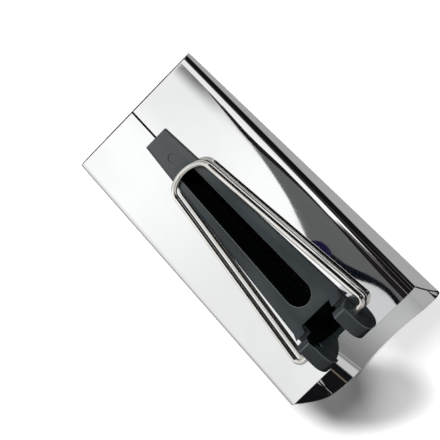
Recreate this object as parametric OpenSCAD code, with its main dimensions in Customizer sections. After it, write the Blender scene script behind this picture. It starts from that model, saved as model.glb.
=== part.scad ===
// Bias tape maker for 50 mm single fold tape, lying on its base.
// +Y runs from the wide mouth to the narrow exit, +Z is up, +X is to the right looking along +Y.
// The origin is under the middle of the whole length. All sizes are in millimetres.

/* [Sheet metal body] */
// Outside width across the narrow exit, set by the 50 mm tape
exit_w = 52.2; // [40:0.2:64]
// Outside height of the narrow exit
exit_h = 5; // [4:0.1:8]
// Outside width across the top of the wide mouth
mouth_w = 57.6; // [50:0.2:76]
// Outside height of the wide mouth
mouth_h = 24.6; // [20:0.1:28]
// Length of the two top flaps
flap_len = 96.4; // [85:0.1:125]
// How far the floor of the mouth runs out ahead of the flaps, in the middle
lip_len = 9.7; // [4:0.1:14]
// How much further it runs out beside the bends
lip_bow = 0.85; // [0:0.05:2]
// Thickness of the sheet
sheet_t = 0.6; // [0.4:0.05:1]
// Outside radius of the upper bends
top_r = 2.4; // [1.6:0.1:3]
// Outside radius of the lower bends at the mouth
low_r = 12; // [6:0.25:14]
// How far the foot of each wall stands out past its top at the mouth, less than nothing where it leans in
wall_flare = -2; // [-4:0.1:2]
// Width of the slit where the flaps meet
slit_w = 0.6; // [0.3:0.05:1.2]

/* [Fabric guide] */
// Distance from the narrow exit to the tip of the guide
tip_set = 10.6; // [6:0.1:16]
// Width of the guide across its tip
tip_w = 8.5; // [7:0.1:11]
// Width of the guide across its wide end
rail_w = 21; // [19:0.1:24]
// Distance from the front of the flaps to the end of the rail
rail_set = 15.3; // [14.5:0.1:18]
// Height of the upright edge of the rail over the flaps
rail_t = 0.9; // [0.7:0.1:2]
// Width of the bevel round the rail
bevel_w = 1.4; // [0.6:0.1:1.6]
// Height of the bevel round the rail
bevel_h = 0.3; // [0.2:0.1:0.8]
// Width of the awl slot near the tip
slot_w = 5.8; // [4:0.1:6.2]
// Width of the awl slot at its round end
slot_end_w = 9; // [7:0.1:9.4]
// Length of the awl slot
slot_len = 54.5; // [40:0.5:56]
// Distance from the end of the rail to the awl slot
slot_set = 3.6; // [2.5:0.1:4.5]
// Depth of the groove that holds the edge of each flap
groove_d = 1.7; // [1:0.1:2]
// Thickness of the lips under the flaps
lip_t = 1.1; // [0.8:0.05:1.6]
// Thickness of the floor of the guide
floor_t = 1.4; // [1:0.05:2]
// Height of the floor of the guide over the base at the mouth
floor_mouth = 12.2; // [10:0.1:14]
// Height of the floor of the guide over the base at the tip
floor_tip = 1.9; // [1.5:0.05:2.4]
// Space between the two hinge ears
ear_gap = 11.6; // [10:0.1:12.6]
// Thickness of one hinge ear
ear_t = 4.8; // [3.6:0.1:5.4]
// Radius of the round front of a hinge ear
ear_r = 4.6; // [4:0.05:5]
// Length of a hinge ear
ear_len = 12; // [11.2:0.1:12.6]
// Distance from the front of the flaps to the front of a hinge ear
ear_set = 0.33; // [0.1:0.01:0.8]
// Height of a hinge ear over the front of the flaps
ear_h = 4.9; // [4.5:0.1:5.7]
// Angle that the hinge ears lean back with the flaps
ear_lean = 3.7; // [0:0.1:6]
// Width of the bevel at the rear of a hinge ear
ear_bevel = 1.5; // [0.8:0.1:1.8]
// Height over the flaps of the ramps between the rail and the hinge ears
neck_t = 3.3; // [2.4:0.1:3.8]
// Play between the guide and the flaps it holds
seat_play = 0.08; // [0.03:0.01:0.15]
// Radius of the curved front of the wedge under the flaps
wedge_r = 24.8; // [23:0.1:28]
// Diameter of the round mark near the tip
mark_d = 3.2; // [2:0.1:4]
// Distance from the tip to the middle of the round mark
mark_set = 8.2; // [6:0.1:9]

/* [Pull handle] */
// Diameter of the wire
wire_d = 1.9; // [1.4:0.05:2.2]
// Running play round the wire in the ears
wire_play = 0.05; // [0.02:0.01:0.1]
// Distance from the hinge to the closed end of the handle
handle_len = 65.4; // [60:0.1:68]
// Distance from the middle to the wire where it turns in to the ears
hinge_half = 15.2; // [13.6:0.1:17]
// Radius of the turn in to the ears
turn_r = 2.2; // [1.8:0.1:3]
// Radius of the corners at the closed end
corner_r = 3.8; // [2.5:0.1:5]
// Radius of the crown at the closed end
crown_r = 12.3; // [10:0.1:18]
// Half angle of the crown at the closed end
crown_a = 27; // [20:0.5:32]
// Height of the hinge over the front of the flaps
hinge_h = 1.12; // [0.9:0.01:1.6]
// Distance of the hinge behind the front of the flaps
hinge_set = 7.81; // [6.5:0.01:8.5]
// Gap under the resting handle
rest_gap = 0.2; // [0.15:0.05:0.6]

/* [Hidden] */
$fn = 64;
// Steps round an upper bend, down a wall, round a lower bend, over half the floor and along the body
top_n = 8;
wall_n = 6;
low_n = 10;
floor_n = 4;
run_n = 8;
// Sides of the wire
wire_n = 20;
// Middle of the whole length
mid_y = (flap_len - lip_len - lip_bow) / 2;
// Slope of the flaps
slope = atan((mouth_h - exit_h) / flap_len);
flap_run = flap_len / cos(slope);
// Larger than any piece, for cuts
big = 2 * flap_len;
// Lower bend radius at the exit, which leaves a short straight wall
wall_exit = 0.2;
low_r_exit = exit_h - top_r - wall_exit;
// Where the lower bends start at the mouth, and the power of the curve of the front edge up the walls
bend_x = mouth_w / 2 + wall_flare - low_r;
lip_power = 1.5;
// Guide, measured along the flaps
tip_y = flap_run - tip_set;
rail_y = rail_set / cos(slope);
rail_top = rail_t + bevel_h;
// The flaps open out under the tip, in a short step
notch_set = 1.4;
notch_y = (tip_y - notch_set) * cos(slope);
notch_in = 1.5;
// Edges of the flaps, which stand deeper in the groove at the wide end
edge_extra = 0.4;
edge_tip = tip_w / 2 - groove_d;
edge_k = (rail_w / 2 - groove_d - edge_extra - edge_tip) / (tip_y - rail_y);
slot_y = rail_y + slot_set;
slot_far = slot_y + slot_len;
// The wedge: set back of its front and its nose, rise of the middle of its curve, slope of its floor, wall
wedge_set = 1.06;
nose_y = tip_y - 3.2;
wedge_rise = 0.02;
floor_a = atan((floor_mouth - floor_tip) / (tip_y * cos(slope)));
wall_t = 0.8;
slot_step = 2;
slot_in = 0.4;
mark_depth = 0.3;
lip_set = 6;
bevel_a = atan(bevel_h / bevel_w);
rail_a = atan((rail_w - tip_w) / 2 / (tip_y - rail_y));
// Ears and the ramps behind them: where they stand across, the gap behind the ear and its depth
ear_top = mouth_h + ear_h;
ear_rear = ear_set + ear_len;
ear_out = ear_gap / 2 + ear_t;
neck_near = ear_gap / 2 + 0.5;
neck_far = ear_out - 0.3;
neck_lap = 0.5;
neck_y = ear_rear + 0.9;
neck_low = 1.2;
pin_set = 0.1;
// Hinge and rest angle of the handle
hinge_z = mouth_h + hinge_h;
rest_y = hinge_set + handle_len;
rest_z = mouth_h - rest_y * tan(slope) + (rail_top + rest_gap + wire_d / 2) / cos(slope);
rest_a = atan((hinge_z - rest_z) / handle_len);
reach = handle_len / cos(rest_a);
// Corner of the handle and the straight leg tangent to its two turns
corner_c = [(crown_r - corner_r) * sin(crown_a), reach - crown_r + (crown_r - corner_r) * cos(crown_a)];
turn_c = [hinge_half - turn_r, turn_r];
span = turn_c - corner_c;
leg_a = atan2(span.y, span.x) + acos((corner_r - turn_r) / norm(span));

function mix(a, b, t) = a + (b - a) * t;
function clamp(v, lo, hi) = max(lo, min(hi, v));

// Half the gap between the flaps at a distance y from their front edge
function flap_gap(y) =
    y >= notch_y ? slit_w / 2
    : y >= notch_y - notch_in ? mix(slit_w / 2, edge_line(notch_y - notch_in), (notch_y - y) / notch_in)
    : edge_line(y);
function edge_line(y) = edge_tip + edge_k * (tip_y - y / cos(slope));

// Right half of the section of the sheet at t, from the edge of the flap to the base.
// Each entry is x, z and the outward normal.
function half_section(t, y) =
    let (
        w = mix(mouth_w, exit_w, t) / 2,
        h = mix(mouth_h, exit_h, t),
        lr = mix(low_r, low_r_exit, t),
        tc = [w - top_r, h - top_r],
        lc = [w + mix(wall_flare, 0, t) - lr, lr],
        d = lc - tc,
        lean = -atan2(d.y, d.x) - acos((top_r - lr) / norm(d)),
        n = [cos(lean), -sin(lean)]
    )
    concat(
        [[flap_gap(y), h, 0, 1]],
        [for (i = [0 : top_n]) let (a = mix(90, -lean, i / top_n))
            [tc.x + top_r * cos(a), tc.y + top_r * sin(a), cos(a), sin(a)]],
        [for (i = [1 : wall_n - 1]) let (p = mix(tc + top_r * n, lc + lr * n, i / wall_n))
            [p.x, p.y, n.x, n.y]],
        [for (i = [0 : low_n]) let (a = mix(-lean, -90, i / low_n))
            [lc.x + lr * cos(a), lc.y + lr * sin(a), cos(a), sin(a)]],
        [for (i = [1 : floor_n]) [lc.x * (1 - i / (floor_n + 1)), 0, 0, -1]]
    );

// Front edge of the sheet: the floor of the mouth runs ahead of the flaps, and the walls curve back to them
function front_y(x, z) =
    -(lip_len + lip_bow * pow(min(x / bend_x, 1), 2))
    * (1 - pow(clamp(z / (mouth_h - top_r), 0, 1), lip_power));

// Stations along the body, with two at the notch where the slit opens
stations = concat(
    [for (j = [0 : run_n - 1]) (notch_y - notch_in) / flap_len * j / run_n],
    [(notch_y - notch_in) / flap_len, notch_y / flap_len, 1]
);
side_n = top_n + wall_n + low_n + floor_n + 2;
ring_n = 4 * side_n;

// One closed ring of the sheet: the outside from the left flap to the right flap, then the inside back
function ring(t) =
    let (
        s = half_section(t, flap_len * t),
        m = half_section(0, 0),
        p = [for (i = [0 : side_n - 1])
            let (y = mix(front_y(m[i][0], m[i][1]), flap_len, t)) [s[i][0], y, s[i][1], s[i][2], s[i][3]]]
    )
    concat(
        [for (i = [0 : side_n - 1]) [-p[i][0], p[i][1], p[i][2]]],
        [for (i = [side_n - 1 : -1 : 0]) [p[i][0], p[i][1], p[i][2]]],
        [for (i = [0 : side_n - 1]) [p[i][0] - sheet_t * p[i][3], p[i][1], p[i][2] - sheet_t * p[i][4]]],
        [for (i = [side_n - 1 : -1 : 0]) [sheet_t * p[i][3] - p[i][0], p[i][1], p[i][2] - sheet_t * p[i][4]]]
    );

module sheet_metal_body() {
    last = len(stations) - 1;
    half = ring_n / 2;
    points = [for (t = stations) each ring(t)];
    walls = [for (j = [0 : last - 1], i = [0 : ring_n - 1])
        let (a = j * ring_n + i, b = j * ring_n + (i + 1) % ring_n)
        each [[a, b, b + ring_n], [a, b + ring_n, a + ring_n]]];
    caps = [for (j = [0, last], i = [0 : half - 2])
        let (o = j * ring_n, a = o + i, b = o + i + 1, c = o + ring_n - 2 - i, d = o + ring_n - 1 - i)
        each (j == 0 ? [[a, c, b], [a, d, c]] : [[a, b, c], [a, c, d]])];
    color("silver") translate([0, -mid_y, 0]) polyhedron(points, concat(walls, caps), convexity = 8);
}

// Puts a shape drawn on the flaps, with z = 0 on their outside, in its place
module on_flaps() {
    translate([0, 0, mouth_h]) rotate([-slope, 0, 0]) children();
}

// A tapered strip drawn on the flaps from y0 to y1
module taper(y0, w0, y1, w1) {
    polygon([[-w0, y0], [w0, y0], [w1, y1], [-w1, y1]]);
}

// The rail on top of the flaps, with its bevels
module rail() {
    difference() {
        linear_extrude(rail_top) taper(rail_y, rail_w / 2, tip_y, tip_w / 2);
        for (s = [-1, 1]) translate([s * tip_w / 2, tip_y, rail_t])
            rotate([0, 0, s * rail_a]) rotate([0, s * bevel_a, 0])
            translate([-rail_w / 2, -big, 0]) cube([rail_w, 2 * big, big]);
        translate([0, tip_y, rail_t]) rotate([-bevel_a, 0, 0]) translate([-rail_w, -rail_w / 2, 0])
            cube([2 * rail_w, rail_w, rail_w]);
    }
}

// Everything under a plane that slopes with the floor of the guide from height z
module under_floor(z) {
    translate([0, 0, z]) rotate([-floor_a, 0, 0]) translate([-big / 2, -big / 2, -big])
        cube([big, 2 * big, big]);
}

// The wedge under the flaps: walls and floor, rounded under the mouth
module wedge() {
    curve_z = mouth_h + wedge_rise;
    difference() {
        intersection() {
            on_flaps() translate([0, 0, -mouth_h]) linear_extrude(mouth_h + seat_play + rail_t / 2)
                taper(0, edge_line(0) - seat_play, nose_y, edge_line(nose_y * cos(slope)) - seat_play);
            translate([-rail_w, wedge_set, 0]) cube([2 * rail_w, flap_len, ear_top]);
        }
        under_floor(floor_mouth);
        difference() {
            translate([-rail_w, -lip_len, -lip_len]) cube([2 * rail_w, lip_len + wedge_r, lip_len + curve_z]);
            translate([0, wedge_set + wedge_r, curve_z]) rotate([0, 90, 0])
                cylinder(r = wedge_r, h = 3 * rail_w, center = true, $fn = 128);
        }
    }
}

// The lips that hold the flaps from below
module lips() {
    on_flaps() translate([0, 0, -sheet_t - seat_play - lip_t]) linear_extrude(lip_t)
        taper(lip_set, edge_line(lip_set) + groove_d, nose_y, edge_line(nose_y * cos(slope)) + groove_d);
}

// Side view of a hinge ear: round in front, bevelled at the rear
module ear_side() {
    rear = ear_len - ear_r;
    translate([ear_set + ear_r, ear_top - ear_r]) rotate(-ear_lean) {
        circle(ear_r);
        polygon([[0, -ear_r], [rear, -ear_r], [rear, ear_r - ear_bevel],
            [rear - ear_bevel, ear_r], [0, ear_r]]);
    }
}

// Side view of a ramp between the rail and a hinge ear, drawn on the flaps
module neck_side() {
    start_y = ear_rear - ear_r;
    end_y = rail_y + neck_lap;
    polygon([[start_y, seat_play], [end_y, seat_play], [end_y, rail_top + seat_play],
        [rail_y, rail_top + seat_play], [neck_y, neck_t], [neck_y, neck_low], [start_y, neck_low]]);
}

// The hinge ears with the ramps that join them to the rail
module ears() {
    for (s = [-1, 1]) {
        difference() {
            translate([s * (ear_gap + ear_t) / 2, 0, 0]) rotate([90, 0, 90])
                linear_extrude(ear_t, center = true) ear_side();
            on_flaps() translate([-big / 2, -big / 2, seat_play - big]) cube([big, big, big]);
        }
        on_flaps() translate([s * (neck_near + neck_far) / 2, 0, 0]) rotate([90, 0, 90])
            linear_extrude(neck_far - neck_near, center = true) neck_side();
    }
}

// The space inside the guide, open towards the mouth
module trough() {
    trough_far = min(slot_w / 2 - slot_in, edge_line(slot_far * cos(slope)) - wall_t);
    difference() {
        on_flaps() translate([0, 0, -mouth_h]) linear_extrude(mouth_h + seat_play + rail_t / 4)
            taper(-ear_len, ear_gap / 2, slot_far, trough_far);
        under_floor(floor_mouth + floor_t);
    }
    translate([-ear_gap / 2, -lip_len, floor_mouth + floor_t]) cube([ear_gap, lip_len + rail_set, big]);
}

// The awl slot, narrow at the tip and round at the wide end
module awl_slot(w0, w1) {
    near_y = slot_y + w0 / 2;
    taper(near_y, w0 / 2, slot_far, w1 / 2);
    translate([0, near_y]) circle(d = w0);
}

module fabric_guide() {
    color([0.2, 0.2, 0.22]) translate([0, -mid_y, 0]) difference() {
        union() {
            on_flaps() translate([0, 0, seat_play]) rail();
            wedge();
            lips();
            ears();
        }
        trough();
        on_flaps() linear_extrude(big) awl_slot(slot_end_w, slot_w);
        on_flaps() translate([0, 0, -big / 2]) linear_extrude(big)
            awl_slot(slot_end_w - slot_step, slot_w - slot_step);
        on_flaps() translate([0, tip_y - mark_set, rail_top + seat_play - mark_depth])
            cylinder(d = mark_d, h = big);
        translate([0, hinge_set, hinge_z]) rotate([0, 90, 0])
            cylinder(d = wire_d + 2 * wire_play, h = 3 * ear_out, center = true);
    }
}

// Places along an arc of wire in the plane of the handle, each with the angle of its outward side
function wire_arc(centre, r, a0, a1, steps) =
    [for (i = [0 : steps]) let (a = mix(a0, a1, i / steps))
        [centre.x + r * cos(a), centre.y + r * sin(a), a]];
function mirrored(c) = [-c.x, c.y];

// The bent wire between the ears, as one closed tube, and its two straight ends as hinge pins
module pull_handle() {
    start_x = ear_out + wire_d / 2;
    path = concat(
        [[start_x, 0, -90]],
        wire_arc(turn_c, turn_r, -90, leg_a, 8),
        wire_arc(corner_c, corner_r, leg_a, 90 - crown_a, 6),
        wire_arc([0, reach - crown_r], crown_r, 90 - crown_a, 90 + crown_a, 6),
        wire_arc(mirrored(corner_c), corner_r, 90 + crown_a, 180 - leg_a, 6),
        wire_arc(mirrored(turn_c), turn_r, 180 - leg_a, 270, 8),
        [[-start_x, 0, 270]]
    );
    cover = 0.005;
    tube_r = wire_d / 2 / cos(180 / wire_n) + cover;
    last = len(path) - 1;
    points = [for (p = path, k = [0 : wire_n - 1]) let (u = tube_r * cos(360 * k / wire_n))
        [p[0] + u * cos(p[2]), p[1] + u * sin(p[2]), tube_r * sin(360 * k / wire_n)]];
    sides = [for (j = [0 : last - 1], k = [0 : wire_n - 1])
        let (a = j * wire_n + k, b = j * wire_n + (k + 1) % wire_n)
        each [[a, b, b + wire_n], [a, b + wire_n, a + wire_n]]];
    ends = [[for (k = [wire_n - 1 : -1 : 0]) k], [for (k = [0 : wire_n - 1]) last * wire_n + k]];
    color("gainsboro") translate([0, hinge_set - mid_y, hinge_z]) rotate([-rest_a, 0, 0]) {
        polyhedron(points, concat(sides, ends), convexity = 6);
        for (s = [-1, 1]) translate([s * (ear_gap / 2 + pin_set), 0, 0]) rotate([0, s * 90, 0])
            cylinder(d = wire_d, h = ear_t + wire_d, $fn = 48);
    }
}

sheet_metal_body();
fabric_guide();
pull_handle();
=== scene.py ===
import math

import bmesh
import bpy
from mathutils import Matrix, Vector


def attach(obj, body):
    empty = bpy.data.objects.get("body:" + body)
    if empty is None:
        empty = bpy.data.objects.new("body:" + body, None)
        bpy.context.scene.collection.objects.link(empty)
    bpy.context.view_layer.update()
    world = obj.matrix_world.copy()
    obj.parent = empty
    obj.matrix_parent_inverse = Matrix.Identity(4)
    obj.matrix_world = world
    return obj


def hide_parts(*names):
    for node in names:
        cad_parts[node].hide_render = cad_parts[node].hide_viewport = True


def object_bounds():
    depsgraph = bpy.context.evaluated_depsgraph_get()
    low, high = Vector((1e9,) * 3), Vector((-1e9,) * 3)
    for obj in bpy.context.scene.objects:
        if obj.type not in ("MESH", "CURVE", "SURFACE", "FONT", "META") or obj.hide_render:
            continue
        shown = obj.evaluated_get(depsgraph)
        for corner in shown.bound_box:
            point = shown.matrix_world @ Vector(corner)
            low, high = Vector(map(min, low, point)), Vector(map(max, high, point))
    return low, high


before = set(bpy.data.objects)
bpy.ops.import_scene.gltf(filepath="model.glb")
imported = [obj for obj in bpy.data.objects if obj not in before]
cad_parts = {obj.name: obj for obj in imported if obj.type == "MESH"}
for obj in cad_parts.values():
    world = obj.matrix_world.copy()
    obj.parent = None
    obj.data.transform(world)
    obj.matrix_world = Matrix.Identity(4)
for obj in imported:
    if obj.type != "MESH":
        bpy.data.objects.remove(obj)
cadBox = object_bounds()
scene = bpy.context.scene
scene.view_settings.view_transform = "Standard"
mm = 0.001
print("frame loaded:", sorted(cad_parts))


# camera, at the angle of the picture
cameraSet = {
    "place": (0.52807, 0.12791, 1.10296),
    "aim": (-0.00333, 0.01199, 0.01271),
    "right": (0.6501, -0.7336, -0.1980),
    "lens": 327.27,
    "clip": (0.05, 20.0),
}


def makeCamera(s):
    data = bpy.data.cameras.new("camera")
    data.lens = s["lens"]
    data.clip_start, data.clip_end = s["clip"]
    obj = bpy.data.objects.new("camera", data)
    scene.collection.objects.link(obj)
    back = (Vector(s["place"]) - Vector(s["aim"])).normalized()
    right = Vector(s["right"])
    right = (right - back * right.dot(back)).normalized()
    up = back.cross(right)
    turn = Matrix((right, up, back)).transposed().to_4x4()
    obj.matrix_world = Matrix.Translation(Vector(s["place"])) @ turn
    scene.camera = obj


makeCamera(cameraSet)
print("camera placed")


# node trees written as sums
class Socket:
    def __init__(self, tree, socket):
        self.tree, self.socket = tree, socket

    def other(self, name):  # another output of the same node
        return Socket(self.tree, self.socket.node.outputs[name])

    def sum(self, kind, left, right):
        return self.tree.node("ShaderNodeMath", {"operation": kind}, {0: left, 1: right})

    def __add__(self, right):
        return self.sum("ADD", self, right)

    def __radd__(self, left):
        return self.sum("ADD", left, self)

    def __sub__(self, right):
        return self.sum("SUBTRACT", self, right)

    def __rsub__(self, left):
        return self.sum("SUBTRACT", left, self)

    def __mul__(self, right):
        return self.sum("MULTIPLY", self, right)

    def __rmul__(self, left):
        return self.sum("MULTIPLY", left, self)

    def __truediv__(self, right):
        return self.sum("DIVIDE", self, right)

    def __rtruediv__(self, left):
        return self.sum("DIVIDE", left, self)

    def __mod__(self, right):
        return self.sum("FLOORED_MODULO", self, right)

    def __pow__(self, right):
        return self.sum("POWER", self, right)


class Tree:
    def __init__(self, tree):
        self.tree = tree

    def node(self, kind, settings=None, sockets=None, out=0):
        made = self.tree.nodes.new(kind)
        for key, value in (settings or {}).items():
            setattr(made, key, value)
        for key, value in (sockets or {}).items():
            if isinstance(value, Socket):
                self.tree.links.new(value.socket, made.inputs[key])
            else:
                made.inputs[key].default_value = value
        return Socket(self, made.outputs[out]) if made.outputs else made

    def blend(self, share, low, high):  # between two colours
        tint = [c if isinstance(c, Socket) else (*c, 1) for c in (low, high)]
        return self.node("ShaderNodeMix", {"data_type": "RGBA"}, {0: share, 6: tint[0], 7: tint[1]}, 2)

    def between(self, value, low, high, first=0.0, last=1.0):
        return self.node("ShaderNodeMapRange", {"interpolation_type": "SMOOTHSTEP"},
                         {0: value, 1: low, 2: high, 3: first, 4: last})

    def less(self, left, right):
        return self.node("ShaderNodeMath", {"operation": "LESS_THAN"}, {0: left, 1: right})


class Paint(Tree):
    def __init__(self, name):
        self.material = bpy.data.materials.new(name)
        self.material.use_nodes = True
        super().__init__(self.material.node_tree)
        self.tree.nodes.clear()

    def place(self):
        return self.node("ShaderNodeTexCoord", out="Object")

    def noise(self, scale, detail, stretch=None):
        vector = self.place()
        if stretch:
            vector = self.node("ShaderNodeMapping", {}, {"Vector": vector, "Scale": stretch})
        return self.node("ShaderNodeTexNoise", {}, {"Vector": vector, "Scale": scale, "Detail": detail})

    def bump(self, height, distance, strength=1.0):
        return self.node("ShaderNodeBump", {}, {"Height": height, "Distance": distance, "Strength": strength})

    def mark(self, name):  # a value kept on the faces
        return self.node("ShaderNodeAttribute", {"attribute_name": name}, out="Fac")

    def finish(self, sockets):
        shader = self.node("ShaderNodeBsdfPrincipled", {}, sockets)
        self.node("ShaderNodeOutputMaterial", {}, {"Surface": shader})
        return self.material


# sizes of the folded sheet body, in millimetres
sheetSet = {
    "mouthWidth": 57.6, "mouthHeight": 24.6, "exitWidth": 52.2, "exitHeight": 5.0,
    "length": 96.4, "lip": 9.7, "lipBow": 0.85, "lipPower": 1.5, "thickness": 0.6, "topBend": 2.4,
    "lowBend": 12.0, "lowBendExit": 2.4, "flare": -2.0, "slit": 0.6,
    "gapMouth": 9.66, "gapNotch": 2.8, "notch": 0.8783, "notchStep": 0.0156,
    "flapShares": (0.0, 0.25, 0.5, 0.75, 0.9, 0.98), "floorShares": (0.98, 0.8, 0.6, 0.4, 0.2, 0.0),
    "topSteps": 28, "wallSteps": 6, "lowSteps": 36, "rows": 130,
    "rim": 0.1, "rimSteps": 2, "rimAngle": 50.0, "cutFacing": 0.75,
}
# from the flaps' front edge to the middle of the whole length
midY = (sheetSet["length"] - sheetSet["lip"] - sheetSet["lipBow"]) / 2
slope = math.atan((sheetSet["mouthHeight"] - sheetSet["exitHeight"]) / sheetSet["length"])
flapStart = Vector((0, -midY, sheetSet["mouthHeight"]))  # middle of the flaps' front edge
flapUp = Vector((0, math.sin(slope), math.cos(slope)))  # square to the flaps
flapRun = Vector((0, math.cos(slope), -math.sin(slope)))  # along them to the exit


# finishes, with places in metres: a noise is its scale, detail and stretch, a span is where it starts to show
# and where it shows fully
sheetFinish = {
    "bright": (0.90, 0.905, 0.91), "dull": (0.865, 0.87, 0.875), "roughness": 0.02,
    "smudge": (48.0, 4.0), "smudgeSpan": (0.42, 0.72), "smudgeRough": 0.012,
    "rubbed": (1.0, 2.0, (900.0, 40.0, 900.0)), "rubbedSpan": (0.55, 0.75), "rubbedRough": 0.02,
    "ripple": (26.0, 1.0), "grain": (2600.0, 2.0), "grainShare": 0.02, "wave": 0.000006,
    # painted shade on the floor inside, under the guide
    "inside": (0.02, 0.02, 0.022), "insideRough": 0.5, "insideHalf": 0.014, "insideSoft": 0.002,
    "insideY": (-0.042, -0.034), "insideLow": (0.0003, 0.0005), "insideHigh": (0.0009, 0.0014),
    # darker cut ends: partly bare cut metal, partly painted shade
    "cutEndAndShade": (0.20, 0.20, 0.21), "cutEndAndShadeRough": 0.35,
}
wireFinish = {
    "bright": (0.92, 0.90, 0.86), "dull": (0.80, 0.77, 0.72), "roughness": 0.07,
    "drawn": (1.0, 2.0, (1800.0, 120.0, 1800.0)), "drawnSpan": (0.5, 0.7),
    "drawnRough": 0.04, "drawnDepth": 0.000004,
    "wearAndHighlight": (180.0, 3.0), "wearAndHighlightSpan": (0.45, 0.7), "wornRough": 0.04,
}
plasticFinish = {
    "deep": (0.0115, 0.017, 0.0205), "pale": (0.025, 0.033, 0.038), "roughness": 0.36, "refraction": 1.5,
    "flow": (1.0, 3.0, (160.0, 45.0, 160.0)), "flowSpan": (0.35, 0.7), "flowPale": 0.8, "flowRough": 0.06,
    "speck": (1500.0, 2.0), "speckSpan": (0.66, 0.8), "speckPale": 0.4,
    "speckDull": (0.5, 0.7), "speckRough": 0.05,
    "texture": (3800.0, 2.0), "flowDepth": 0.6, "textureDepth": 0.00002, "textureShare": 0.5,
    # painted light: the guide is lighter towards its narrow tip
    "tip": (0.055, 0.062, 0.065), "tipAlong": (0.060, 0.080),
    # painted highlight along the guide's eased edges, broken up by the specks
    "wearAndHighlight": (0.085, 0.094, 0.098), "wearAndHighlightSpan": (0.2, 0.5), "wearAndHighlightShare": (0.4, 1.0),
    # painted shade for the slot, the recess between the ears and under the flaps
    "hollowShade": (0.0012, 0.0018, 0.0016), "hollowShadeRough": 0.8,
    "slotFrom": 0.019, "slotTo": 0.074, "slotHalf": 0.0047, "slotTaper": 0.032, "slotTop": 0.0011,
    "recessFrom": 0.0074, "recessSoft": 0.0012, "recessTo": 0.01555, "recessHalf": 0.0059, "deepTop": 0.0002,
}


def platedSheet(s):
    p = Paint("platedSheet")
    smudge = p.between(p.noise(*s["smudge"]), *s["smudgeSpan"])
    rubbed = p.between(p.noise(*s["rubbed"]), *s["rubbedSpan"])
    colour = p.blend(smudge, s["bright"], s["dull"])
    # painted shade: the floor inside, under the guide, is painted near black and dull
    spot = p.node("ShaderNodeSeparateXYZ", {}, {0: p.place()})
    level = p.between(spot.other("Z"), *s["insideLow"]) - p.between(spot.other("Z"), *s["insideHigh"])
    across = 1 - p.between(spot * spot, s["insideHalf"] ** 2, (s["insideHalf"] + s["insideSoft"]) ** 2)
    inside = level * across * p.between(spot.other("Y"), *s["insideY"])
    colour = p.blend(inside, colour, s["inside"])
    # the cut ends are darker and rougher: partly bare cut metal, partly painted shade
    cutEndAndShade = p.mark("cutEndAndShade")
    colour = p.blend(cutEndAndShade, colour, s["cutEndAndShade"])
    rough = s["roughness"] + smudge * s["smudgeRough"] + rubbed * s["rubbedRough"]
    rough = rough + inside * s["insideRough"] + cutEndAndShade * s["cutEndAndShadeRough"]
    normal = p.bump(p.noise(*s["ripple"]) + p.noise(*s["grain"]) * s["grainShare"], s["wave"])
    return p.finish({"Base Color": colour, "Metallic": 1.0, "Roughness": rough, "Normal": normal})


def platedWire(s):
    p = Paint("platedWire")
    drawn = p.noise(*s["drawn"])
    wearAndHighlight = p.between(p.noise(*s["wearAndHighlight"]), *s["wearAndHighlightSpan"])
    colour = p.blend(wearAndHighlight, s["bright"], s["dull"])
    rough = s["roughness"] + wearAndHighlight * s["wornRough"] + p.between(drawn, *s["drawnSpan"]) * s["drawnRough"]
    normal = p.bump(drawn, s["drawnDepth"])
    return p.finish({"Base Color": colour, "Metallic": 1.0, "Roughness": rough, "Normal": normal})


def guidePlastic(s):
    p = Paint("guidePlastic")
    flow, speck = p.noise(*s["flow"]), p.noise(*s["speck"])
    streak = p.between(flow, *s["flowSpan"])
    pale = streak * s["flowPale"] + p.between(speck, *s["speckSpan"]) * s["speckPale"]
    colour = p.blend(pale, s["deep"], s["pale"])
    # places along the flaps' slope and height over the flaps
    spot = p.node("ShaderNodeSeparateXYZ", {}, {0: p.place()})
    rise, back = spot.other("Z") - sheetSet["mouthHeight"] * mm, spot.other("Y") + midY * mm
    height = rise * math.cos(slope) + back * math.sin(slope)
    along = back * math.cos(slope) - rise * math.sin(slope)
    # painted light: lighter towards the narrow tip
    colour = p.blend(p.between(along, *s["tipAlong"]), colour, s["tip"])
    # painted highlight on the narrow faces along the eased edges, broken up by the specks
    wearAndHighlight = p.mark("wearAndHighlight") * p.between(speck, *s["wearAndHighlightSpan"], *s["wearAndHighlightShare"])
    colour = p.blend(wearAndHighlight, colour, s["wearAndHighlight"])
    rough = s["roughness"] - streak * s["flowRough"] + p.between(speck, *s["speckDull"]) * s["speckRough"]
    normal = p.bump(p.noise(*s["texture"]) + flow * s["flowDepth"], s["textureDepth"], s["textureShare"])
    skin = p.node("ShaderNodeBsdfPrincipled", {}, {
        "Base Color": colour, "Roughness": rough, "Normal": normal, "IOR": s["refraction"]})
    # painted shade: the slot, the recess between the ears and what lies under the flaps are near black, with
    # no shine
    hollowShade = p.node("ShaderNodeBsdfPrincipled", {}, {
        "Base Color": (*s["hollowShade"], 1), "Roughness": s["hollowShadeRough"], "Specular IOR Level": 0.0})
    behind = p.between(along, s["recessFrom"], s["recessFrom"] + s["recessSoft"])
    half = s["slotHalf"] - (along - s["slotFrom"]) * s["slotTaper"]
    inSlot = p.less(spot * spot, half * half) * p.less(height, s["slotTop"])
    inSlot = inSlot * p.less(along, s["slotTo"]) * p.less(s["slotFrom"], along)
    inRecess = p.less(spot * spot, s["recessHalf"] ** 2) * p.less(along, s["recessTo"])
    share = inSlot + inRecess + p.less(height, s["deepTop"])
    share = p.node("ShaderNodeClamp", {}, {0: share * behind})
    both = p.node("ShaderNodeMixShader", {}, {0: share, 1: skin, 2: hollowShade})
    p.node("ShaderNodeOutputMaterial", {}, {"Surface": both})
    return p.material


finishes = {
    "sheet": platedSheet(sheetFinish),
    "wire": platedWire(wireFinish),
    "plastic": guidePlastic(plasticFinish),
}
print("finishes made:", len(finishes))


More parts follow.
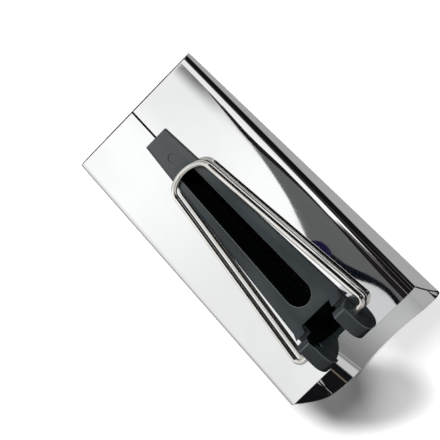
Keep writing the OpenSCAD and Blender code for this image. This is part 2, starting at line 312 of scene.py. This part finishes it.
# geometry node trees
class Shape(Tree):
    def __init__(self, name, sizes):
        self.group = bpy.data.node_groups.new(name, "GeometryNodeTree")
        super().__init__(self.group)
        face = self.group.interface
        face.new_socket(name="Geometry", in_out="INPUT", socket_type="NodeSocketGeometry")
        face.new_socket(name="Geometry", in_out="OUTPUT", socket_type="NodeSocketGeometry")
        for label, kind in sizes.items():
            face.new_socket(name=label, in_out="INPUT", socket_type="NodeSocket" + kind)
        self.entry = self.node("NodeGroupInput")

    def size(self, label):
        return self.entry.other(label)

    def deliver(self, geometry):
        whole = self.node("GeometryNodeRealizeInstances", {}, {0: geometry})
        dressed = self.node("GeometryNodeSetMaterial", {}, {
            "Geometry": whole, "Material": self.size("Finish")})
        self.node("NodeGroupOutput", {}, {0: dressed})

    def run(self, obj, values):
        modifier = obj.modifiers.new("shape", "NODES")
        modifier.node_group = self.group
        names = {i.name: i.identifier for i in self.group.interface.items_tree if i.in_out == "INPUT"}
        for label, value in values.items():
            modifier[names[label]] = value
        return settle(obj)


def settle(obj):  # the modifiers' result as a plain mesh
    bpy.context.view_layer.update()
    depsgraph = bpy.context.evaluated_depsgraph_get()
    mesh = bpy.data.meshes.new_from_object(obj.evaluated_get(depsgraph))
    obj.modifiers.clear()
    obj.data = mesh
    return obj


def addMesh(name, points, faces=(), edges=()):
    mesh = bpy.data.meshes.new(name)
    mesh.from_pydata(points, edges, faces)
    obj = bpy.data.objects.new(name, mesh)
    scene.collection.objects.link(obj)
    return obj


# folded sheet body: a straight loft from the mouth section to the exit section
def halfSection(s, t):
    def along(a, b):
        return a + (b - a) * t

    width, height = along(s["mouthWidth"], s["exitWidth"]) / 2, along(s["mouthHeight"], s["exitHeight"])
    topR, lowR = s["topBend"], along(s["lowBend"], s["lowBendExit"])
    gap = along(s["gapMouth"], s["slit"] / 2)
    topX, topZ = width - topR, height - topR
    lowX, lowZ = width + along(s["flare"], 0) - lowR, lowR
    reach = math.hypot(lowX - topX, lowZ - topZ)
    lean = -math.atan2(lowZ - topZ, lowX - topX) - math.acos((topR - lowR) / reach)
    points = [(gap + (topX - gap) * share, height) for share in s["flapShares"]]
    for i in range(s["topSteps"] + 1):
        a = math.pi / 2 + (-lean - math.pi / 2) * i / s["topSteps"]
        points.append((topX + topR * math.cos(a), topZ + topR * math.sin(a)))
    start = points[-1]
    end = (lowX + lowR * math.cos(lean), lowZ - lowR * math.sin(lean))
    for i in range(1, s["wallSteps"]):
        share = i / s["wallSteps"]
        points.append((start[0] + (end[0] - start[0]) * share, start[1] + (end[1] - start[1]) * share))
    for i in range(s["lowSteps"] + 1):
        a = -lean + (-math.pi / 2 + lean) * i / s["lowSteps"]
        points.append((lowX + lowR * math.cos(a), lowZ + lowR * math.sin(a)))
    points += [(lowX * share, 0.0) for share in s["floorShares"]]
    return points


def fullSection(s, t):
    half = halfSection(s, t)
    return [(-x, z) for x, z in half] + half[-2::-1]


def makeSheetBody(s):
    mouth, leave = fullSection(s, 0), fullSection(s, 1)
    top = s["mouthHeight"] - s["topBend"]
    bend = s["mouthWidth"] / 2 + s["flare"] - s["lowBend"]
    front = []
    for x, z in mouth:  # the floor runs out ahead of the flaps and the walls curve back to them
        reach = s["lip"] + s["lipBow"] * min(abs(x) / bend, 1) ** 2
        front.append((x, -reach * (1 - min(max(z / top, 0), 1) ** s["lipPower"]), z))
    back = [(x, s["length"], z) for x, z in leave]
    ends = []
    for name, row in (("mouthSection", front), ("exitSection", back)):
        points = [(x * mm, (y - midY) * mm, z * mm) for x, y, z in row]
        ends.append(addMesh(name, points, edges=[(i, i + 1) for i in range(len(points) - 1)]))

    g = Shape("sheetLoft", {
        "Mouth": "Object", "Exit": "Object", "Points": "Int", "Rows": "Int", "Slit": "Float",
        "Gap At Mouth": "Float", "Gap At Notch": "Float", "Notch": "Float", "Notch Step": "Float",
        "Finish": "Material",
    })
    rows, count = g.size("Rows"), g.size("Points")
    grid = g.node("GeometryNodeMeshGrid", {}, {"Vertices X": count, "Vertices Y": rows})
    index = g.node("GeometryNodeInputIndex")
    across = g.node("ShaderNodeMath", {"operation": "FLOOR"}, {0: (index + 0.5) / rows})
    t = (index % rows) / (rows - 1)
    spots = []
    for label in ("Mouth", "Exit"):
        source = g.node("GeometryNodeObjectInfo", {}, {"Object": g.size(label)}, "Geometry")
        spots.append(g.node("GeometryNodeSampleIndex", {"data_type": "FLOAT_VECTOR"}, {
            "Geometry": source, "Value": g.node("GeometryNodeInputPosition"), "Index": across}))
    mixed = g.node("ShaderNodeMix", {"data_type": "VECTOR"}, {0: t, 4: spots[0], 5: spots[1]}, 1)
    parts = g.node("ShaderNodeSeparateXYZ", {}, {0: mixed})
    # the flaps' free edges open from the slit to the groove of the guide
    line = g.size("Gap At Mouth") + (g.size("Gap At Notch") - g.size("Gap At Mouth")) * t / g.size("Notch")
    step = g.node("ShaderNodeClamp", {}, {0: (g.size("Notch") - t) / g.size("Notch Step")})
    gap = g.size("Slit") / 2 + step * (line - g.size("Slit") / 2)
    first, last = g.less(across, 0.5), g.less(count - 1.5, across)
    x = parts * (1 - first - last) + gap * (last - first)
    spot = g.node("ShaderNodeCombineXYZ", {}, {0: x, 1: parts.other("Y"), 2: parts.other("Z")})
    moved = g.node("GeometryNodeSetPosition", {}, {"Geometry": grid.other("Mesh"), "Position": spot})
    g.deliver(g.node("GeometryNodeSetShadeSmooth", {}, {0: moved}))

    body = g.run(addMesh("folded_sheet", [(0, 0, 0)]), {
        "Mouth": ends[0], "Exit": ends[1], "Points": len(front), "Rows": s["rows"], "Slit": s["slit"] * mm,
        "Gap At Mouth": s["gapMouth"] * mm, "Gap At Notch": s["gapNotch"] * mm,
        "Notch": s["notch"], "Notch Step": s["notchStep"], "Finish": finishes["sheet"],
    })
    for end in ends:
        bpy.data.objects.remove(end)
    highest = max(body.data.polygons, key=lambda f: f.center.z)
    if highest.normal.z < 0:
        body.data.flip_normals()
    wall = body.modifiers.new("wall", "SOLIDIFY")
    wall.thickness, wall.offset = s["thickness"] * mm, -1
    rim = body.modifiers.new("rim", "BEVEL")
    rim.width, rim.segments, rim.limit_method = s["rim"] * mm, s["rimSteps"], "ANGLE"
    rim.angle_limit, rim.harden_normals = math.radians(s["rimAngle"]), True
    settle(body)
    for v in body.data.vertices:  # the wall's thickness leans out a little at the exit
        v.co.y = min(max(v.co.y, cadBox[0][1]), cadBox[1][1])
    cutEndAndShade = body.data.attributes.new("cutEndAndShade", "FLOAT", "FACE")  # the ends of the sheet, front and rear, darker and rougher: cut metal with painted shade
    for face, mark in zip(body.data.polygons, cutEndAndShade.data):
        mark.value = 1.0 if abs(face.normal.y) > s["cutFacing"] else 0.0
    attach(body, "folder")
    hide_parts("sheet_metal_body")
    return body


sheetBody = makeSheetBody(sheetSet)
print("folded sheet:", len(sheetBody.data.polygons), "faces")


# pull handle: round wire along one bent line, in millimetres and degrees
wireSet = {
    "diameter": 1.9, "pinInner": 5.9, "hingeHalf": 15.2, "turn": 2.2, "corner": 3.8,
    "crown": 12.3, "crownAngle": 27.0, "length": 65.4, "hingeHeight": 1.12, "hingeBack": 7.81,
    "railTop": 1.2, "restGap": 0.2, "sides": 28, "step": 0.35,
    "turnSteps": 24, "cornerSteps": 20, "crownSteps": 12, "sharp": 50.0,
}


def arc(cx, cy, r, start, end, steps):
    angles = [math.radians(start + (end - start) * i / steps) for i in range(steps + 1)]
    return [(cx + r * math.cos(a), cy + r * math.sin(a)) for a in angles]


def makeHandle(s):
    hingeZ = sheetSet["mouthHeight"] + s["hingeHeight"]
    restY = s["hingeBack"] + s["length"]
    lift = (s["railTop"] + s["restGap"] + s["diameter"] / 2) / math.cos(slope)
    restZ = sheetSet["mouthHeight"] - restY * math.tan(slope) + lift
    rest = math.atan((hingeZ - restZ) / s["length"])
    reach = s["length"] / math.cos(rest)
    crownA = math.radians(s["crownAngle"])
    inner = s["crown"] - s["corner"]
    cornerX, cornerY = inner * math.sin(crownA), reach - s["crown"] + inner * math.cos(crownA)
    turnX, turnY = s["hingeHalf"] - s["turn"], s["turn"]
    dx, dy = turnX - cornerX, turnY - cornerY
    leg = math.degrees(math.atan2(dy, dx) + math.acos((s["corner"] - s["turn"]) / math.hypot(dx, dy)))
    half = [(s["pinInner"], 0.0)]
    half += arc(turnX, turnY, s["turn"], -90, leg, s["turnSteps"])
    half += arc(cornerX, cornerY, s["corner"], leg, 90 - s["crownAngle"], s["cornerSteps"])
    half += arc(0, reach - s["crown"], s["crown"], 90 - s["crownAngle"], 90, s["crownSteps"])[1:]
    line = half + [(-x, y) for x, y in half[-2::-1]]
    hinge = Vector((0, s["hingeBack"] - midY, hingeZ))
    tilt = Matrix.Rotation(-rest, 3, "X")
    points = [(hinge + tilt @ Vector((x, y, 0))) * mm for x, y in line]

    curve = bpy.data.curves.new("handleLine", "CURVE")
    curve.dimensions = "3D"
    spline = curve.splines.new("POLY")
    spline.points.add(len(points) - 1)
    for spot, p in zip(spline.points, points):
        spot.co = (*p, 1)
    path = bpy.data.objects.new("handleLine", curve)
    scene.collection.objects.link(path)

    g = Shape("bentWire", {"Line": "Object", "Diameter": "Float", "Sides": "Int", "Step": "Float",
                           "Finish": "Material"})
    source = g.node("GeometryNodeObjectInfo", {}, {"Object": g.size("Line")}, "Geometry")
    even = g.node("GeometryNodeResampleCurve", {"mode": "LENGTH"}, {
        "Curve": source, "Length": g.size("Step")})
    ring = g.node("GeometryNodeCurvePrimitiveCircle", {}, {
        "Resolution": g.size("Sides"), "Radius": g.size("Diameter") / 2})
    tube = g.node("GeometryNodeCurveToMesh", {}, {"Curve": even, "Profile Curve": ring, "Fill Caps": True})
    g.deliver(g.node("GeometryNodeSetShadeSmooth", {}, {0: tube}))
    wire = g.run(addMesh("pull_wire", [(0, 0, 0)]), {
        "Line": path, "Diameter": s["diameter"] * mm, "Sides": s["sides"], "Step": s["step"] * mm,
        "Finish": finishes["wire"],
    })
    bpy.data.objects.remove(path)
    edit = bmesh.new()
    edit.from_mesh(wire.data)
    bmesh.ops.recalc_face_normals(edit, faces=edit.faces)
    edit.to_mesh(wire.data)
    edit.free()
    wire.data.set_sharp_from_angle(angle=math.radians(s["sharp"]))
    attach(wire, "handle")
    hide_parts("pull_handle")
    return wire


handle = makeHandle(wireSet)
print("pull handle:", len(handle.data.polygons), "faces")


# moulded guide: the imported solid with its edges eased, in millimetres and degrees
guideSet = {"ease": 0.22, "easeSteps": 3, "angle": 25.0, "weld": 0.004, "flat": 0.5, "shortest": 0.3,
            "lowest": 0.6, "neck": (11.9, 17.5), "narrow": 0.16}


def makeGuide(s):
    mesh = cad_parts["fabric_guide"].data.copy()
    mesh.name = "moulded_guide"
    edit = bmesh.new()
    edit.from_mesh(mesh)
    bmesh.ops.remove_doubles(edit, verts=edit.verts, dist=s["weld"] * mm)
    bmesh.ops.dissolve_limit(edit, angle_limit=math.radians(s["flat"]), verts=edit.verts, edges=edit.edges)
    weight = edit.edges.layers.float.new("bevel_weight_edge")
    start = flapStart * mm
    for edge in edit.edges:  # only outer edges that stand clear of the flaps, and not at the necks
        turned = edge.calc_face_angle_signed(0)
        sharp = edge.is_manifold and abs(turned) > math.radians(s["angle"])
        long = edge.calc_length() > s["shortest"] * mm
        clear = min((v.co - start).dot(flapUp) for v in edge.verts) > s["lowest"] * mm
        neck = any(s["neck"][0] * mm < (v.co - start).dot(flapRun) < s["neck"][1] * mm for v in edge.verts)
        edge[weight] = 1.0 if sharp and turned > 0 and long and clear and not neck else 0.0
        edge.smooth = not sharp or edge[weight] > 0
    edit.to_mesh(mesh)
    edit.free()
    mesh.materials.clear()
    mesh.materials.append(finishes["plastic"])
    for face in mesh.polygons:
        face.use_smooth = True
    guide = bpy.data.objects.new("moulded_guide", mesh)
    scene.collection.objects.link(guide)
    ease = guide.modifiers.new("ease", "BEVEL")
    ease.width, ease.segments, ease.limit_method = s["ease"] * mm, s["easeSteps"], "WEIGHT"
    ease.use_clamp_overlap, ease.harden_normals = False, True
    settle(guide)
    wearAndHighlight = guide.data.attributes.new("wearAndHighlight", "FLOAT", "FACE")  # the narrow faces along the eased edges, which get a painted highlight
    for face, mark in zip(guide.data.polygons, wearAndHighlight.data):
        spots = [guide.data.vertices[i].co for i in face.vertices]
        spans = sorted((spots[i] - spots[i - 1]).length for i in range(len(spots)))
        mark.value = 1.0 if len(spans) == 4 and spans[1] < s["narrow"] * mm < spans[2] else 0.0
    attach(guide, "folder")
    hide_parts("fabric_guide")
    return guide


guide = makeGuide(guideSet)
print("moulded guide:", len(guide.data.polygons), "faces")


# studio: white floor, white surround, a dark side and a few cards that only the metal sees, in metres
floorSet = {
    "half": 4.0, "drop": 0.05, "pale": 0.8, "glow": 0.62,
    "shade": (-0.0216, -0.0591), "shadeTurn": -43.7, "shadeHalf": (0.0139, 0.0075), "shadeSpan": (1.0, 2.2),
    "mirrored": (0.40, 0.004), "darkX": (0.040, 0.052),
    "aheadY": (-0.0525, -0.0515), "aheadX": (0.026, 0.030), "ahead": 0.97,
}
# turns are degrees from overhead to the right, depths run from -1 in front to 1 behind
surroundSet = {
    "lit": 0.22, "whiteY": (-0.04, 0.31), "white": (0.44, 1.0), "farY": (0.46, 0.60), "far": -0.35,
    "overFlaps": (0.19, 0.22), "flapTurn": (-27.2, -26.5),
    "leftY": (0.245, 0.282), "left": (0.90, 1.09), "rightY": (0.262, 0.295), "right": (1.08, 0.92),
    "gapTo": (0.05, 0.15), "gapOpens": (-25.2, -24.6), "gapEnds": (-22.5, -12.0), "gap": 0.5, "strip": 0.15,
    "floorTurn": (-26.25, -25.35), "floorTone": (0.45, 1.22), "floorEnds": (-27.0, -26.3),
    "dark": (0.007, 0.007, 0.008), "darkSide": 9.0, "darkSoft": 3.0, "darkY": (-0.5, -0.35, 0.36, 0.46),
    "dipY": (0.08, 0.20), "dip": 28.0, "backY": (0.235, 0.31), "back": 45.0,
    "lowTurn": (62.0, 70.0), "lowY": (-0.05, 0.0, 0.05, 0.11),
    "glint": (0.17, 0.14, 0.11), "glintTurn": (32.0, 34.5, 36.5, 39.0),
}
# cards that the flaps mirror: height, tone and outline as it shows on a flap, across and along, in mm
cardTaper = (sheetSet["mouthWidth"] - sheetSet["exitWidth"]) / 2 / sheetSet["length"]
patchEdge = ((20.6, -4), (21.0, 0), (21.3, 3), (21.3, 5), (20.7, 8), (19.3, 11))
cardSet = [
    # grey over the right flap
    (260, (0.115, 0.118, 0.118), (
        (25.3, 80), (24.2, 72), (23.9, 66), (23.0, 60), (22.1, 55), (21.0, 50), (20.0, 46), (18.6, 42),
        (17.0, 38), (15.8, 35), (14.9, 33), (14.2, 31), (13.8, 28), (14.0, 24), (15.0, 20), (16.4, 16),
        (18.0, 13), *patchEdge[::-1], (26.4, -4), (26.4, 80))),
    # paler patch by the mouth
    (270, (0.64, 0.65, 0.655), ((8.0, -4), *patchEdge, (17.0, 14), (13.0, 16), (8.0, 16))),
    # dark arc between the two
    (120, (0.003, 0.005, 0.008), (
        (20.7, -3), (21.0, 0), (21.4, 3), (21.4, 5), (20.8, 8), (19.5, 10.8), (18.2, 12.7), (16.7, 15.6),
        (15.9, 20), (15.4, 24.5), (17.7, 24.5), (18.3, 20.2), (19.7, 16.4), (21.0, 13.4), (21.8, 11.2),
        (22.7, 8.1), (23.1, 5), (23.0, 3), (22.7, 0), (22.4, -3))),
    # violet spot at the arc's end
    (118, (0.011, 0.008, 0.036), (
        (15.0, 24.5), (17.5, 24.5), (18.1, 26.2), (18.2, 28), (17.8, 29.8), (16.9, 31), (15.8, 32),
        (14.6, 32.5), (14.2, 31))),
    # dark line along the right fold
    (14, (0.014, 0.012, 0.014), (
        (24.1, -4), (24.1, 0), (24.2, 8), (24.5, 16), (24.9, 24), (25.35, 32), (25.3, 44), (24.8, 54),
        (24.2, 62), (24.1, 68), (24.8, 76), (25.5, 84), (25.9, 87), (25.9, 84), (25.6, 76), (25.35, 68),
        (25.8, 60), (26.0, 50), (25.9, 44), (25.7, 36), (26.3, 32), (28.6, 24), (28.8, 16), (28.8, -4))),
    # white strip between that line and the fold
    (12, (1.0, 1.0, 1.0), (
        (26.0, 27), (25.8, 34), (25.95, 38), (26.1, 44), (26.0, 54), (25.5, 64), (25.45, 70), (25.9, 78),
        (26.3, 86), (26.6, 95), (26.7, 95), (26.7, 36))),
    # thin grey line that carries the strip on to the mouth
    (11, (0.34, 0.31, 0.31), ((26.15, -4), (26.0, 27), (26.2, 27), (26.45, -4))),
]
fadeSet = {"height": 200, "tone": 0.12, "across": (20.5, 26.6), "along": (70, 98), "full": 0.8}
lampSet = {"place": (0.42, 0.78, 0.85), "aim": (0.0, 0.0, 0.0), "size": 0.55, "power": 16.0}


def makeFloor(s):
    half, z = s["half"], -s["drop"] * mm
    corners = [(-half, -half, z), (half, -half, z), (half, half, z), (-half, half, z)]
    floor = addMesh("floor", corners, [(0, 1, 2, 3)])
    p = Paint("paleFloor")
    path = p.node("ShaderNodeLightPath", out="Is Camera Ray")
    plain = p.node("ShaderNodeBsdfDiffuse", {}, {"Color": (s["pale"],) * 3 + (1,)})
    spot = p.node("ShaderNodeSeparateXYZ", {}, {0: p.place()})
    # painted shadow: its glow is held back in one soft ellipse by the mouth, where the shadow is deepest, and
    # pales the lamp's shadow elsewhere
    side, on = spot - s["shade"][0], spot.other("Y") - s["shade"][1]
    cosine, sine = math.cos(math.radians(s["shadeTurn"])), math.sin(math.radians(s["shadeTurn"]))
    away = ((side * cosine + on * sine) / s["shadeHalf"][0]) ** 2
    away = away + ((on * cosine - side * sine) / s["shadeHalf"][1]) ** 2
    light = p.between(away ** 0.5, *s["shadeSpan"], 0, s["glow"])
    glow = p.node("ShaderNodeEmission", {}, {"Color": path * light})
    seen = p.node("ShaderNodeAddShader", {}, {0: plain, 1: glow})
    # what the metal sees of it is painted: dark to the right, and painted shade in front of the mouth
    tone = p.between(spot, *s["darkX"], *s["mirrored"])
    ahead = (1 - p.between(spot.other("Y"), *s["aheadY"])) * (1 - p.between(spot, *s["aheadX"]))
    tone = tone * (1 - ahead * s["ahead"])
    mirrored = p.node("ShaderNodeEmission", {}, {"Color": tone})
    both = p.node("ShaderNodeMixShader", {}, {0: path.other("Is Glossy Ray"), 1: seen, 2: mirrored})
    p.node("ShaderNodeOutputMaterial", {}, {"Surface": both})
    floor.data.materials.append(p.material)


def makeSurround(s):
    world = bpy.data.worlds.new("surround")
    world.use_nodes = True
    scene.world = world
    w = Tree(world.node_tree)
    w.tree.nodes.clear()
    aim = w.node("ShaderNodeSeparateXYZ", {}, {0: w.node("ShaderNodeTexCoord", out="Generated")})
    turn = w.node("ShaderNodeMath", {"operation": "ARCTAN2"}, {0: aim, 1: aim.other("Z")}) * (180 / math.pi)
    depth = aim.other("Y")
    white = w.between(depth, *s["whiteY"], *s["white"])
    # over the flaps it brightens to the rear on the left and dims on the right
    left = w.between(depth, *s["leftY"], *s["left"])
    right = w.between(depth, *s["rightY"], *s["right"])
    flaps = left + (right - left) * w.between(turn, *s["flapTurn"])
    white = white + (flaps - white) * w.between(depth, *s["overFlaps"])
    # low in front it dims towards a soft dark gap, with a brighter strip past it
    low = 1 - w.between(depth, *s["gapTo"])
    past = w.between(turn, *s["gapEnds"])
    gap = (w.between(turn, *s["gapOpens"]) - past) * low
    dim = (w.between(turn, *s["floorTurn"], *s["floorTone"]) - 1) * w.between(turn, *s["floorEnds"])
    white = white * (1 - gap * (1 - s["gap"])) * (1 + dim * low * (1 - gap) * (1 - past))
    white = white + past * low * s["strip"]
    # far behind it is a little dimmer
    white = white + w.between(depth, *s["farY"]) * s["far"]
    grey = w.node("ShaderNodeCombineXYZ", {}, {0: white, 1: white, 2: white})
    # the dark side reaches past overhead part of the way back, then draws away again, and has a warm glint
    shine = w.between(turn, *s["glintTurn"][:2]) - w.between(turn, *s["glintTurn"][2:])
    side = w.blend(shine, s["dark"], s["glint"])
    starts = s["darkSide"] - w.between(depth, *s["dipY"]) * s["dip"]
    starts = starts + w.between(depth, *s["backY"]) * s["back"]
    share = w.between(turn - starts, -s["darkSoft"], s["darkSoft"])
    share = share * w.between(depth, *s["darkY"][:2]) * (1 - w.between(depth, *s["darkY"][2:]))
    # low on the right, straight abeam, it is left open
    abeam = w.between(depth, *s["lowY"][:2]) * (1 - w.between(depth, *s["lowY"][2:]))
    share = share * (1 - w.between(turn, *s["lowTurn"]) * abeam)
    tone = w.blend(share, grey, side)
    path = w.node("ShaderNodeLightPath", out="Is Camera Ray")
    seen = w.blend(path.other("Is Glossy Ray"), (s["lit"],) * 3, tone)
    seen = w.blend(path, seen, (1, 1, 1))
    sky = w.node("ShaderNodeBackground", {}, {"Color": seen})
    w.node("ShaderNodeOutputWorld", {}, {"Surface": sky})


def cardCorner(x, v, height):  # where a card shows in a flap at a given place
    spot = (flapStart + Vector((x - cardTaper * v, 0, 0)) + flapRun * v) * mm
    sight = spot - Vector(cameraSet["place"])
    bounce = sight - flapUp * 2 * sight.dot(flapUp)
    return spot + bounce * (height * mm / bounce.dot(flapUp))


def stageCard(card, material):
    card.data.materials.append(material)
    card.visible_camera = card.visible_diffuse = card.visible_shadow = False


def makeCards(cards):
    for number, (height, tone, outline) in enumerate(cards):
        points = [cardCorner(x, v, height) for x, v in outline]
        card = addMesh(f"card{number}", points, [tuple(range(len(points)))])
        p = Paint(f"cardTone{number}")
        glow = p.node("ShaderNodeEmission", {}, {"Color": (*tone, 1)})
        p.node("ShaderNodeOutputMaterial", {}, {"Surface": glow})
        stageCard(card, p.material)


def makeFade(s):  # grey that fades in towards the fold at the narrow end
    (x0, x1), (v0, v1) = s["across"], s["along"]
    corners = ((x0, v0), (x1, v0), (x1, v1), (x0, v1))
    card = addMesh("fadeCard", [cardCorner(x, v, s["height"]) for x, v in corners], [(0, 1, 2, 3)])
    layer = card.data.uv_layers.new(name="share")
    for loop, place in zip(layer.data, ((0, 0), (1, 0), (1, 1), (0, 1))):
        loop.uv = place
    p = Paint("fadeTone")
    share = p.node("ShaderNodeSeparateXYZ", {}, {0: p.node("ShaderNodeTexCoord", out="UV")})
    amount = p.between(share, 0, 1) * p.between(share.other("Y"), 0, s["full"])
    clear = p.node("ShaderNodeBsdfTransparent")
    glow = p.node("ShaderNodeEmission", {}, {"Color": (s["tone"],) * 3 + (1,)})
    both = p.node("ShaderNodeMixShader", {}, {0: amount, 1: clear, 2: glow})
    p.node("ShaderNodeOutputMaterial", {}, {"Surface": both})
    stageCard(card, p.material)


def makeLamp(s):
    data = bpy.data.lights.new("softLamp", "AREA")
    data.shape, data.size, data.energy = "DISK", s["size"], s["power"]
    lamp = bpy.data.objects.new("softLamp", data)
    scene.collection.objects.link(lamp)
    lamp.location = s["place"]
    lamp.visible_glossy = False
    lamp.rotation_euler = (Vector(s["aim"]) - Vector(s["place"])).to_track_quat("-Z", "Y").to_euler()


makeFloor(floorSet)
makeSurround(surroundSet)
makeCards(cardSet)
makeFade(fadeSet)
makeLamp(lampSet)
print("studio set")
